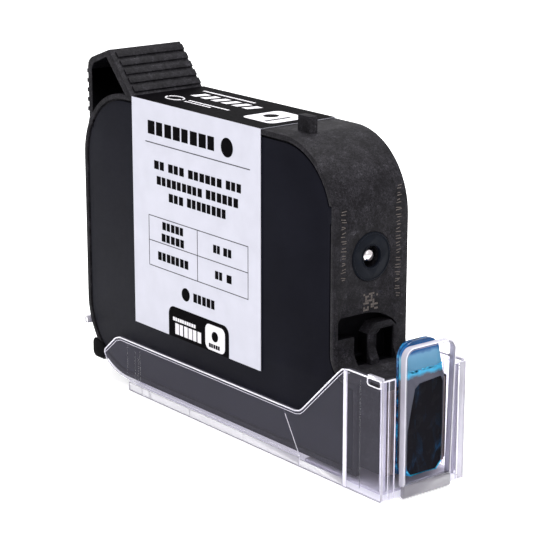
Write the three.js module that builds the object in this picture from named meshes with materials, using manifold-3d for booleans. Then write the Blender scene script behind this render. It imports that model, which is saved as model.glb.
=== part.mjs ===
// A thermal-inkjet print cartridge standing in its clear protective cap.
// Millimetres, +Z up. +X runs from the handle end to the nozzle end, and Y is the thickness.
// Pieces are drawn from a datum at the label's rear top edge: X = 0 is the label's rear edge,
// Y = 0 the mid-plane and Z = 0 the top of the body. The assembly group then moves that datum,
// so that the part's origin is at the middle of its footprint, on the floor.
import * as THREE from "three";
import { mergeVertices } from "three/addons/utils/BufferGeometryUtils.js";
import Module from "manifold-3d";

const wasm = await Module();
wasm.setup();

// ---- driving dimensions ----
// The cartridge body, its side covers, label and handle.
const BODY = { x0: -19.9, x1: 69.9, z0: -66.4, z1: 0, half: 9.8, corner: 16.3, wall: 3.4 };
const COVER = { inset: 1.05, gap: 0.5, thick: 0.5, sink: 0.15, seat: 0.1 };
const TAB = { x1: 68.75, z0: -15.7, z1: -12.2, play: 0.2 };
const LABEL = { x0: 0, x1: 46.4, drop: 52, thick: 0.12, gap: 0.05 };
const LUG = { x0: 51.8, x1: 55.6, y0: -4.5, y1: -2.45, z1: 3.3, root: 1.0 };
const HANDLE = { peak: [-9.0, 9.4], foot: [-0.4, 0] };
const GRIP = { count: 5, inset: 1.3, width: 1.5, height: 0.8, first: 0.13, step: 0.185 };
const REAR_RIB = { count: 5, x0: -18.1, x1: -17.2, top: 3.5, pitch: 2.2, half: 0.45 };
const CATCH = { x0: -18.3, x1: -12.6, z0: -64.8, z1: -60.2, width: 2.8, corner: 1.4 };

// The nozzle end of the body.
const SNOUT = { base: 77.2, x1: 83.9, z0: -64.3, z1: -46.9, half: 9.0, edge: 1.2, fillet: 4.6 };
const CHANNEL = { half: 1.8, z0: -60.5, z1: -50.5 };
const RECESS = { x0: 66.9, y0: -8.6, y1: 7.0, z0: -46.2, z1: -35.2, turn: 1.2 };
const SHELF = { y: -4.3, z: -39.8 };
const PILLAR = { y0: -0.6, y1: 7.6, z1: -37.9, chamfer: 1.9 };
const KEYHOLE = { x0: 67.2, y0: 1.6, y1: 6.2, z1: -39.3, chamfer: 1.1 };
const PORT = { y: 0.05, z: -23.6, ring: 5.1, hole: 2.3, ball: 2.2, ballX: 67.6, seat: 69.1 };

// The ink supply and the printhead.
const SUPPLY = { play: 0.15, ring: 2.05, half: 7.6, rim: 7.75, dish: 4.5, film: 0.3 };
const PLATE = { x0: -6, x1: 54, z0: -52, z1: -14, corner: 6, inner: 4.0, thick: 0.4 };
const SPRING = { x: 24, long: 24, bow: 3.8, leaf: 0.3, z0: -40, width: 14 };
const FILTER = { x0: 67.2, x1: 73.5, half: 3.4, z0: -60.4, z1: -50.8, wall: 1.1, screen: 0.25 };
const FLEX = { half: 8.3, face: 7.7, thick: 0.2, gap: 0.1, tail: 44, pocket: 8.6 };
const DIE = { half: 2.2, z0: -62.2, z1: -49.0, thick: 0.6, bead: 0.8 };
const ORIFICE = { gap: 0.03, thick: 0.08 };

// The cap, with its rear strap, sprung flap and seal pad.
const CAP = { x1: 86.4, inner: 10.15, arm: 10.95, box: 11.2, wall: 1.0, floor: -68.8, thick: 1.0 };
const CAP_TOP = { arm: -57.0, box: -43.6 };
const CAP_FOOT = { x0: -1.5, x1: 62, top: -66.6 };
const CAP_RIB = { x0: 74.9, x1: 76.1, proud: 0.2, drop: 0.3 };
const CAP_SLOT = { x0: 81.7, x1: 85.3, z0: -45.7, z1: -44.4 };
const CAP_WINDOW = { half: 7.5, z0: -67.2 };
const STRAP = { gap: 0.4, thick: 0.8, half: 6.3, root: -5.5 };
const LATCH = { x0: -20.6, x1: -19.3, z0: -57.2, z1: -55.4, corner: 0.5 };
const FLAP = { x0: 86.3, x1: 87.8, half: 7.1, z0: -66.8, z1: -37.6, corner: 2.4 };
const FLAP_FOOT = { x0: 86.8, x1: 88.1, z1: -65.9 };
const PAD = { x0: 85.0, x1: 85.95, half: 5.8, z0: -65.3, z1: -37.0, corner: 3.2, taper: 1.4, run: 9.0 };

const FOOTPRINT_X = (LATCH.x0 + FLAP_FOOT.x1) / 2;
const FAR = 100; // longer than anything here, for cuts that run right through

const MATERIALS = {
  frame: { color: 0x2e3034, roughness: 0.62, metalness: 0 },
  cover: { color: 0x1c1e24, roughness: 0.38, metalness: 0.3 },
  label: { color: 0xdfe1ee, roughness: 0.45, metalness: 0 },
  steel: { color: 0xb9bcc0, roughness: 0.25, metalness: 1 },
  port: { color: 0x15181f, roughness: 0.3, metalness: 0 },
  film: { color: 0xc9cdd2, roughness: 0.3, metalness: 0 },
  inner: { color: 0x9a9da2, roughness: 0.5, metalness: 0 },
  flex: { color: 0x8a4f22, roughness: 0.35, metalness: 0 },
  silicon: { color: 0x4a4d55, roughness: 0.2, metalness: 0.6 },
  bead: { color: 0x1a1a1a, roughness: 0.4, metalness: 0 },
  clear: { color: 0xe9ecf2, roughness: 0.1, metalness: 0 },
  pad: { color: 0x1c8fd0, roughness: 0.3, metalness: 0 },
};

// ---- shape helpers ----
function solid(geometry) {
  const bare = geometry.index ? geometry.toNonIndexed() : geometry.clone();
  bare.deleteAttribute("normal");
  bare.deleteAttribute("uv");
  const merged = mergeVertices(bare, 1e-4);
  const vertProperties = new Float32Array(merged.attributes.position.array);
  const triVerts = new Uint32Array(merged.index.array);
  return new wasm.Manifold(new wasm.Mesh({ numProp: 3, vertProperties, triVerts }));
}

function mesh(name, look, shape) {
  const data = shape.getMesh();
  const positions = new Float32Array(data.numVert * 3);
  for (let i = 0; i < data.numVert; i++) {
    const from = i * data.numProp;
    positions.set(data.vertProperties.subarray(from, from + 3), i * 3);
  }
  const geometry = new THREE.BufferGeometry();
  geometry.setAttribute("position", new THREE.BufferAttribute(positions, 3));
  geometry.setIndex(new THREE.BufferAttribute(new Uint32Array(data.triVerts), 1));
  geometry.computeVertexNormals();
  const piece = new THREE.Mesh(geometry, new THREE.MeshStandardMaterial(MATERIALS[look]));
  piece.name = name;
  return piece;
}

function box(x0, x1, y0, y1, z0, z1) {
  const geometry = new THREE.BoxGeometry(x1 - x0, y1 - y0, z1 - z0);
  return solid(geometry.translate((x0 + x1) / 2, (y0 + y1) / 2, (z0 + z1) / 2));
}

function extrude(shape, depth, segments) {
  return new THREE.ExtrudeGeometry(shape, { depth, bevelEnabled: false, curveSegments: segments });
}

// An outline in X and Z, given thickness from y0 to y1.
function sidePlate(shape, y0, y1, segments = 10) {
  return solid(extrude(shape, y1 - y0, segments).rotateX(Math.PI / 2).translate(0, y1, 0));
}

// The same, on the near side (-1) or the far side (+1), between two distances from the mid-plane.
function sideLayer(shape, side, inner, outer, segments) {
  return side > 0 ? sidePlate(shape, inner, outer, segments) : sidePlate(shape, -outer, -inner, segments);
}

// An outline in Y and Z, given length from x0 to x1.
function endPlate(shape, x0, x1, segments = 8) {
  const turn = new THREE.Matrix4().makeBasis(
    new THREE.Vector3(0, 1, 0),
    new THREE.Vector3(0, 0, 1),
    new THREE.Vector3(1, 0, 0),
  );
  return solid(extrude(shape, x1 - x0, segments).applyMatrix4(turn).translate(x0, 0, 0));
}

// A round bar along X.
function barX(radius, x0, x1, y, z, sides = 28) {
  const geometry = new THREE.CylinderGeometry(radius, radius, x1 - x0, sides);
  return solid(geometry.rotateZ(Math.PI / 2).translate((x0 + x1) / 2, y, z));
}

function polygon(points) {
  return new THREE.Shape(points.map(([a, b]) => new THREE.Vector2(a, b)));
}

function roundedRect(a0, a1, b0, b1, radius) {
  const shape = new THREE.Shape();
  shape.moveTo(a0 + radius, b0);
  shape.lineTo(a1 - radius, b0);
  shape.absarc(a1 - radius, b0 + radius, radius, -Math.PI / 2, 0, false);
  shape.lineTo(a1, b1 - radius);
  shape.absarc(a1 - radius, b1 - radius, radius, 0, Math.PI / 2, false);
  shape.lineTo(a0 + radius, b1);
  shape.absarc(a0 + radius, b1 - radius, radius, Math.PI / 2, Math.PI, false);
  shape.lineTo(a0, b0 + radius);
  shape.absarc(a0 + radius, b0 + radius, radius, Math.PI, Math.PI * 1.5, false);
  return shape;
}

const bothSides = (make) => make(-1).add(make(1));

// ---- outlines that several pieces share ----
// The body's side profile: three round corners, and a foot that runs out into the snout's base.
function bodyOutline(inset) {
  const radius = BODY.corner - inset;
  const x0 = BODY.x0 + inset;
  const x1 = BODY.x1 - inset;
  const z0 = BODY.z0 + inset;
  const z1 = BODY.z1 - inset;
  const toe = SNOUT.base - inset;
  const shoulder = SNOUT.z1 - inset;
  const fillet = SNOUT.fillet + inset;
  const shape = new THREE.Shape();
  shape.moveTo(x0 + radius, z0);
  shape.lineTo(toe, z0);
  shape.lineTo(toe, shoulder);
  shape.lineTo(x1 + fillet, shoulder);
  shape.absarc(x1 + fillet, shoulder + fillet, fillet, Math.PI * 1.5, Math.PI, true);
  shape.lineTo(x1, z1 - radius);
  shape.absarc(x1 - radius, z1 - radius, radius, 0, Math.PI / 2, false);
  shape.lineTo(x0 + radius, z1);
  shape.absarc(x0 + radius, z1 - radius, radius, Math.PI / 2, Math.PI, false);
  shape.lineTo(x0, z0 + radius);
  shape.absarc(x0 + radius, z0 + radius, radius, Math.PI, Math.PI * 1.5, false);
  return shape;
}

// The plain outline of the ink supply, round at all four corners.
function supplyOutline(inset) {
  const radius = BODY.corner - inset;
  return roundedRect(BODY.x0 + inset, BODY.x1 - inset, BODY.z0 + inset, BODY.z1 - inset, radius);
}

// ---- body frame ----
// A hollow loop: a rear leg, a short top and a front slope down to the body.
function handle() {
  const rear = [[-19.0, -12], [-17.5, -7], [-17.7, 4.4], [-17.5, 5.5], [-16.9, 6.3], [-16.0, 6.9]];
  const outline = [...rear, HANDLE.peak, HANDLE.foot, [-0.4, -2]];
  const hollow = [[-16.2, -12], [-16.2, 4.2], [-15.4, 5.6], [-10.1, 7.7], [-2.4, -0.4], [-2.4, -12]];
  let loop = sidePlate(polygon(outline), -BODY.half, BODY.half);
  loop = loop.subtract(sidePlate(polygon(hollow), -FAR, FAR));
  for (let i = 0; i < GRIP.count; i++) loop = loop.add(gripRidge(GRIP.first + i * GRIP.step));
  for (let i = 0; i < REAR_RIB.count; i++) loop = loop.add(rearRib(REAR_RIB.top - i * REAR_RIB.pitch));
  return loop;
}

// A ridge across the front slope, at a share of the way from its peak to its foot. It stops short of
// the near edge and runs out at the far one.
function gripRidge(share) {
  const [peakX, peakZ] = HANDLE.peak;
  const [footX, footZ] = HANDLE.foot;
  const x = THREE.MathUtils.lerp(peakX, footX, share);
  const z = THREE.MathUtils.lerp(peakZ, footZ, share);
  const slope = Math.atan2(peakZ - footZ, footX - peakX);
  const ridge = new THREE.BoxGeometry(GRIP.width, 2 * BODY.half - GRIP.inset, GRIP.height);
  return solid(ridge.rotateY(slope).translate(x, GRIP.inset / 2, z));
}

function rearRib(z) {
  const { x0, x1, half } = REAR_RIB;
  return box(x0, x1, -BODY.half, BODY.half, z - half, z + half);
}

function rearCatch(side) {
  const outline = roundedRect(CATCH.x0, CATCH.x1, CATCH.z0, CATCH.z1, CATCH.corner);
  return sideLayer(outline, side, BODY.half - CATCH.width, BODY.half, 5);
}

// The block that carries the printhead, with its two front vertical edges rounded.
function snout() {
  const { x1, z0, z1, half, edge } = SNOUT;
  const root = SNOUT.base - 1;
  const plan = new THREE.Shape();
  plan.moveTo(root, -half);
  plan.lineTo(x1 - edge, -half);
  plan.absarc(x1 - edge, -half + edge, edge, -Math.PI / 2, 0, false);
  plan.lineTo(x1, half - edge);
  plan.absarc(x1 - edge, half - edge, edge, 0, Math.PI / 2, false);
  plan.lineTo(root, half);
  return solid(extrude(plan, z1 - z0, 5).translate(0, 0, z0));
}

// What is cut from the end wall above the snout: an arched pocket that leaves a shelf and a
// pillar standing in it, and the keyhole in the pillar.
function endRecess() {
  const { x0, y0, y1, z0, z1, turn } = RECESS;
  const arch = new THREE.Shape();
  arch.moveTo(y0, z0);
  arch.lineTo(y0, z1 - turn);
  arch.quadraticCurveTo(y0, z1, y0 + turn, z1);
  arch.lineTo(-1.4, z1);
  arch.quadraticCurveTo(4.0, z1 - 0.3, y1, z1 - 3.4);
  arch.lineTo(y1, z0);
  const shelf = box(x0 - 1, FAR, y0 - 1, SHELF.y, z0 - 1, SHELF.z);
  const pocket = endPlate(arch, x0, FAR, 8).subtract(shelf).subtract(pillar(x0 - 1));
  return pocket.add(keyhole());
}

function pillar(x0) {
  const { y0, y1, z1, chamfer } = PILLAR;
  const foot = RECESS.z0 - 1;
  const rising = [[y0, foot], [y1, foot], [y1, z1 - chamfer], [y1 - chamfer, z1]];
  return endPlate(polygon([...rising, [y0 + chamfer, z1], [y0, z1 - chamfer]]), x0, BODY.x1 + 1);
}

function keyhole() {
  const { x0, y0, y1, z1, chamfer } = KEYHOLE;
  const outline = [[y0, RECESS.z0], [y1, RECESS.z0], [y1, z1], [y0 + chamfer, z1], [y0, z1 - chamfer]];
  return endPlate(polygon(outline), x0, FAR);
}

// The seat for a side cover, with a notch in its rim for the cover's tab.
function coverSeat(side) {
  const floor = BODY.half - COVER.sink - COVER.thick - COVER.seat;
  const seat = sideLayer(bodyOutline(COVER.inset), side, floor, FAR);
  return seat.add(sideLayer(tabOutline(TAB.play), side, floor, FAR));
}

function tabOutline(play) {
  const { x1, z0, z1 } = TAB;
  const root = x1 - 3;
  return polygon([[root, z0 - play], [x1 + play, z0 - play], [x1 + play, z1 + play], [root, z1 + play]]);
}

function bodyFrame() {
  let frame = sidePlate(bodyOutline(0), -BODY.half, BODY.half).add(handle()).add(bothSides(rearCatch));
  frame = frame.subtract(sidePlate(bodyOutline(BODY.wall), -FAR, FAR)).subtract(bothSides(coverSeat));
  frame = frame.add(box(LUG.x0, LUG.x1, LUG.y0, LUG.y1, -LUG.root, LUG.z1));
  const contactFloor = box(FLEX.tail - 1, SNOUT.base + 1, -FLEX.pocket, FLEX.pocket, -FAR, SNOUT.z0);
  frame = frame.subtract(contactFloor).add(snout()).subtract(endRecess());
  const { half, z0, z1 } = CHANNEL;
  frame = frame.subtract(box(SNOUT.base - 5, FAR, -half, half, z0, z1));
  frame = frame.subtract(barX(PORT.ring + 0.1, PORT.seat, FAR, PORT.y, PORT.z));
  frame = frame.subtract(barX(PORT.hole + 0.3, PORT.ballX - 5, FAR, PORT.y, PORT.z));
  return mesh("body_frame", "frame", frame);
}

// ---- covers and label ----
function sideCover(name, side) {
  const inner = BODY.half - COVER.sink - COVER.thick;
  const outer = BODY.half - COVER.sink;
  const panel = sideLayer(bodyOutline(COVER.inset + COVER.gap), side, inner, outer);
  return mesh(name, "cover", panel.add(sideLayer(tabOutline(0), side, inner, outer)));
}

// One strip folded over the top of the body and down both covers.
function label() {
  const inner = BODY.half + LABEL.gap;
  const outer = inner + LABEL.thick;
  const over = LABEL.gap + LABEL.thick;
  const outline = polygon([
    [-outer, -LABEL.drop],
    [-inner, -LABEL.drop],
    [-inner, LABEL.gap],
    [inner, LABEL.gap],
    [inner, -LABEL.drop],
    [outer, -LABEL.drop],
    [outer, over],
    [-outer, over],
  ]);
  return mesh("label", "label", endPlate(outline, LABEL.x0, LABEL.x1));
}

// ---- ink supply ----
// A ring inside the body, with a hole for the fill port and one for the outlet.
function innerFrame() {
  const inset = BODY.wall + SUPPLY.play;
  const ring = sidePlate(supplyOutline(inset), -SUPPLY.half, SUPPLY.half);
  const opening = sidePlate(supplyOutline(inset + SUPPLY.ring), -FAR, FAR);
  const portHole = barX(PORT.hole + 0.4, BODY.x1 - 15, FAR, PORT.y, PORT.z);
  const outlet = box(BODY.x1 - 15, FAR, -CHANNEL.half, CHANNEL.half, CHANNEL.z0, CHANNEL.z1);
  return mesh("inner_frame", "inner", ring.subtract(opening).subtract(portHole).subtract(outlet));
}

// A film is a shallow dish whose rim lies on the inner frame.
function inkFilm(name, side) {
  const { rim, dish, film, play, ring } = SUPPLY;
  const wall = BODY.wall + play + ring + play * 2;
  const flange = sideLayer(supplyOutline(BODY.wall + play * 2), side, rim, rim + film);
  const outside = sideLayer(supplyOutline(wall), side, dish, rim + film);
  const inside = sideLayer(supplyOutline(wall + film), side, dish + film, FAR);
  return mesh(name, "film", flange.add(outside).subtract(inside));
}

function pressurePlate(name, side) {
  const outline = roundedRect(PLATE.x0, PLATE.x1, PLATE.z0, PLATE.z1, PLATE.corner);
  return mesh(name, "steel", sideLayer(outline, side, PLATE.inner, PLATE.inner + PLATE.thick));
}

// Two bowed leaves joined at their ends, lying between the plates.
function bowSpring() {
  const { x, long, bow, leaf, z0, width } = SPRING;
  const outer = new THREE.Shape();
  outer.absellipse(x, 0, long, bow, 0, Math.PI * 2, false, 0);
  const inner = new THREE.Shape();
  inner.absellipse(x, 0, long - leaf * 1.5, bow - leaf, 0, Math.PI * 2, false, 0);
  const hollow = solid(extrude(inner, width + 2, 20).translate(0, 0, z0 - 1));
  return mesh("bow_spring", "steel", solid(extrude(outer, width, 20).translate(0, 0, z0)).subtract(hollow));
}

// A short open frame that holds a screen on each side, and leads into the snout's channel.
function filterCarrier() {
  const { x0, x1, half, z0, z1, wall } = FILTER;
  const block = box(x0, x1, -half, half, z0, z1);
  const window = box(x0 + wall, x1 - wall, -FAR, FAR, z0 + wall, z1 - wall);
  const outlet = box(x1 - wall - 1, FAR, -CHANNEL.half + 0.3, CHANNEL.half - 0.3, z0 + wall, z1 - wall);
  return mesh("filter_carrier", "inner", block.subtract(window).subtract(outlet));
}

function filterScreen(name, side) {
  const { x0, x1, half, z0, z1, screen } = FILTER;
  const outline = roundedRect(x0 + 0.5, x1 - 0.5, z0 + 0.5, z1 - 0.5, 0.6);
  return mesh(name, "steel", sideLayer(outline, side, half + 0.1, half + 0.1 + screen, 4));
}

// ---- fill port ----
function portRing() {
  const face = BODY.x1 + 0.1;
  const ring = barX(PORT.ring, PORT.seat + 0.1, face, PORT.y, PORT.z);
  return mesh("fill_port_ring", "port", ring.subtract(barX(PORT.hole, 0, FAR, PORT.y, PORT.z)));
}

function portBall() {
  const ball = new THREE.SphereGeometry(PORT.ball, 20, 14).translate(PORT.ballX, PORT.y, PORT.z);
  return mesh("fill_port_ball", "steel", solid(ball));
}

// ---- printhead ----
// A thin circuit on the snout's face that turns under it and runs back along the contact side.
function flexCircuit() {
  const x0 = SNOUT.x1 + FLEX.gap;
  const x1 = x0 + FLEX.thick;
  const z1 = SNOUT.z0 - FLEX.gap;
  const z0 = z1 - FLEX.thick;
  const face = box(x0, x1, -FLEX.face, FLEX.face, z0, SNOUT.z1);
  const neck = box(SNOUT.base, x1, -FLEX.face, FLEX.face, z0, z1);
  const tail = box(FLEX.tail, SNOUT.base + 3, -FLEX.half, FLEX.half, z0, z1);
  const edge = DIE.half + 0.3;
  const window = box(x0 - 1, FAR, -edge, edge, DIE.z0 - DIE.bead - 0.1, DIE.z1 + DIE.bead + 0.1);
  return mesh("flex_circuit", "flex", face.add(neck).add(tail).subtract(window));
}

function printheadDie() {
  const x0 = SNOUT.x1 + FLEX.gap;
  return mesh("printhead_die", "silicon", box(x0, x0 + DIE.thick, -DIE.half, DIE.half, DIE.z0, DIE.z1));
}

function orificePlate() {
  const x0 = SNOUT.x1 + FLEX.gap + DIE.thick + ORIFICE.gap;
  return mesh("orifice_plate", "steel", box(x0, x0 + ORIFICE.thick, -DIE.half, DIE.half, DIE.z0, DIE.z1));
}

// A bead of sealant over the bonds at one end of the die, from z0 up.
function bead(name, z0) {
  const x0 = SNOUT.x1 + FLEX.gap;
  const outline = roundedRect(-DIE.half, DIE.half, z0, z0 + DIE.bead, 0.35);
  return mesh(name, "bead", endPlate(outline, x0, x0 + DIE.thick, 4));
}

// ---- cap ----
// The side wall: a low arm with a pointed rear end, a slope, and the tall box round the snout.
function capSideShape() {
  const shape = new THREE.Shape();
  shape.moveTo(CAP_FOOT.x0, CAP.floor);
  shape.lineTo(CAP.x1, CAP.floor);
  shape.lineTo(CAP.x1, CAP_TOP.box);
  shape.lineTo(76.2, CAP_TOP.box);
  shape.quadraticCurveTo(74.4, CAP_TOP.box, 72.8, -45.2);
  shape.lineTo(61.6, -55.9);
  shape.quadraticCurveTo(60.6, CAP_TOP.arm, 59.0, CAP_TOP.arm);
  shape.lineTo(-5.2, CAP_TOP.arm);
  shape.quadraticCurveTo(-6.4, CAP_TOP.arm, -7.2, -57.6);
  shape.lineTo(-11.9, -61.4);
  shape.lineTo(-11.9, -62.6);
  shape.quadraticCurveTo(-8.5, -66.0, CAP_FOOT.x0, -66.4);
  return shape;
}

function capWall(side) {
  const { inner, arm, box: outer } = CAP;
  const boxEdge = polygon([
    [55.5, -57.6],
    [61.0, -66.4],
    [61.0, CAP.floor - 1],
    [CAP.x1 + 1, CAP.floor - 1],
    [CAP.x1 + 1, CAP_TOP.box + 1],
    [60, CAP_TOP.box + 1],
  ]);
  const thick = sidePlate(capSideShape(), inner, outer, 5).intersect(sidePlate(boxEdge, 0, FAR));
  const foot = box(CAP_FOOT.x0, CAP_FOOT.x1, inner, outer, CAP.floor, CAP_FOOT.top);
  const ribTop = CAP_TOP.box - CAP_RIB.drop;
  const rib = box(CAP_RIB.x0, CAP_RIB.x1, inner, outer + CAP_RIB.proud, CAP.floor, ribTop);
  const slot = box(CAP_SLOT.x0, CAP_SLOT.x1, 0, FAR, CAP_SLOT.z0, CAP_SLOT.z1);
  const wall = sidePlate(capSideShape(), inner, arm, 5).add(thick).add(foot).add(rib).subtract(slot);
  return side > 0 ? wall : wall.mirror([0, 1, 0]);
}

// The strap that follows the body's rear lower corner up to the latch bead.
function rearStrap() {
  const cx = BODY.x0 + BODY.corner;
  const cz = BODY.z0 + BODY.corner;
  const inner = BODY.corner + STRAP.gap;
  const outer = inner + STRAP.thick;
  const top = Math.PI + Math.asin((cz - LATCH.z1 + 0.6) / outer);
  const shape = new THREE.Shape();
  shape.absarc(cx, cz, outer, top, Math.PI * 1.5, false);
  shape.absarc(cx, cz, inner, Math.PI * 1.5, top, true);
  const bead = roundedRect(LATCH.x0, LATCH.x1, LATCH.z0, LATCH.z1, LATCH.corner);
  const bend = sidePlate(shape, -STRAP.half, STRAP.half, 14);
  return bend.add(sidePlate(bead, -BODY.half, BODY.half, 4));
}

// The floor, narrow where the strap joins it and full width under the arms.
function capFloor() {
  const top = CAP.floor + CAP.thick;
  const main = box(CAP_FOOT.x0, CAP.x1, -CAP.box, CAP.box, CAP.floor, top);
  return main.add(box(STRAP.root, CAP_FOOT.x0 + 1, -STRAP.half, STRAP.half, CAP.floor, top + 0.8));
}

function endWall() {
  const wall = box(CAP.x1 - CAP.wall, CAP.x1, -CAP.box, CAP.box, CAP.floor, CAP_TOP.box);
  return wall.subtract(box(0, FAR, -CAP_WINDOW.half, CAP_WINDOW.half, CAP_WINDOW.z0, FAR));
}

function capShell() {
  return mesh("cap_shell", "clear", capFloor().add(bothSides(capWall)).add(endWall()).add(rearStrap()));
}

function sealFlap() {
  const { x0, x1, half, z0, z1, corner } = FLAP;
  const outline = new THREE.Shape();
  outline.moveTo(-half, z0);
  outline.lineTo(half, z0);
  outline.lineTo(half, z1 - corner);
  outline.absarc(half - corner, z1 - corner, corner, 0, Math.PI / 2, false);
  outline.lineTo(-half + corner, z1);
  outline.absarc(-half + corner, z1 - corner, corner, Math.PI / 2, Math.PI, false);
  const foot = box(FLAP_FOOT.x0, FLAP_FOOT.x1, -half, half, CAP.floor, FLAP_FOOT.z1);
  return mesh("seal_flap", "clear", endPlate(outline, x0, x1).add(foot));
}

// The pad's far edge leans in towards its top.
function sealPad() {
  const { x0, x1, half, z0, z1, corner, taper, run } = PAD;
  const plain = endPlate(roundedRect(-half, half, z0, z1, corner), x0, x1, 6);
  const leaning = endPlate(roundedRect(-half, half - taper, z0, z1, corner), x0, x1, 6);
  const shoulder = z1 - corner;
  const side = polygon([[0, z0], [half, z0], [half, z1 - run], [half - taper, shoulder], [0, shoulder]]);
  return mesh("seal_pad", "pad", plain.intersect(leaning.add(endPlate(side, x0, x1))));
}

// ---- assembly ----
const assembly = new THREE.Group();
assembly.add(bodyFrame());
assembly.add(sideCover("side_cover_near", -1), sideCover("side_cover_far", 1), label());
assembly.add(innerFrame(), inkFilm("ink_film_near", -1), inkFilm("ink_film_far", 1));
assembly.add(pressurePlate("pressure_plate_near", -1), pressurePlate("pressure_plate_far", 1));
assembly.add(bowSpring(), filterCarrier());
assembly.add(filterScreen("filter_screen_near", -1), filterScreen("filter_screen_far", 1));
assembly.add(portRing(), portBall(), flexCircuit(), printheadDie(), orificePlate());
assembly.add(bead("encapsulant_lower", DIE.z0 - DIE.bead - 0.05), bead("encapsulant_upper", DIE.z1 + 0.05));
assembly.add(capShell(), sealFlap(), sealPad());
assembly.position.set(-FOOTPRINT_X, 0, -CAP.floor);

const part = new THREE.Group();
part.add(assembly);

export default part;
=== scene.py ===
import math
import random

import bpy
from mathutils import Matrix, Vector


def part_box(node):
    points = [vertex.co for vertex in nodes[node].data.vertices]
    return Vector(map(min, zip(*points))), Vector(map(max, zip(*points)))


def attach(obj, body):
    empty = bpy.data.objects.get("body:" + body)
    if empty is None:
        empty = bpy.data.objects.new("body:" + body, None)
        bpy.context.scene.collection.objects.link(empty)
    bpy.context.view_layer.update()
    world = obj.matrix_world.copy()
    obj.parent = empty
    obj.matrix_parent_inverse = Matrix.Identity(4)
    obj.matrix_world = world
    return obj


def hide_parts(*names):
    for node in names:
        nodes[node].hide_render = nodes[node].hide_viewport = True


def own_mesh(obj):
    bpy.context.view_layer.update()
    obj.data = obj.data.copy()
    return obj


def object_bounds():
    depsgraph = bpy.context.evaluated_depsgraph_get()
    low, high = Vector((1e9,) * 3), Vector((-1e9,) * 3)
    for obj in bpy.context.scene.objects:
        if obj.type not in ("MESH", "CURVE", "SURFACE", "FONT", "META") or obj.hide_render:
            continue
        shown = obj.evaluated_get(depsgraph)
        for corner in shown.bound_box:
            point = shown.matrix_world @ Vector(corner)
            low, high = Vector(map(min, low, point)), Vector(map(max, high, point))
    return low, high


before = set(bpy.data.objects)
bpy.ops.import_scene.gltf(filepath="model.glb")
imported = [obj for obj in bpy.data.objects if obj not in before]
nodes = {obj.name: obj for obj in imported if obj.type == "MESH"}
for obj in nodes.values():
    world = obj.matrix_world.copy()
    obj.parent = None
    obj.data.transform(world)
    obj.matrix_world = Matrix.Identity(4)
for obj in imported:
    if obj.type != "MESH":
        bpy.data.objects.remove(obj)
cad_lo, cad_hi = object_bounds()

MM = 0.001

# The datum that sizes are drawn from: the label's rear top edge, on the mid-plane. It is where the
# label's box says it is, so that everything here follows the frame.
LABEL_LO, LABEL_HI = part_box("label")
LABEL_SKIN = 0.17
DATUM = Vector((LABEL_LO.x, 0.0, LABEL_HI.z - LABEL_SKIN * MM))


def at(x, y, z):
    """A point in the row frame from millimetres off the datum."""
    return DATUM + Vector((x, y, z)) * MM


# ---- camera ----
def make_camera():
    data = bpy.data.cameras.new("camera")
    data.sensor_width = 36.0
    data.lens = 133.5
    camera = bpy.data.objects.new("camera", data)
    bpy.context.scene.collection.objects.link(camera)
    bpy.context.scene.camera = camera
    azimuth = math.radians(51.77)
    elevation = math.radians(15.38)
    back = Vector((
        math.sin(azimuth) * math.cos(elevation),
        -math.cos(azimuth) * math.cos(elevation),
        math.sin(elevation),
    ))
    camera.location = at(358.9, -254.56, 80.1)
    camera.rotation_mode = "QUATERNION"
    camera.rotation_quaternion = (-back).to_track_quat("-Z", "Y")
    data.clip_start, data.clip_end = 0.01, 10.0


make_camera()


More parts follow.
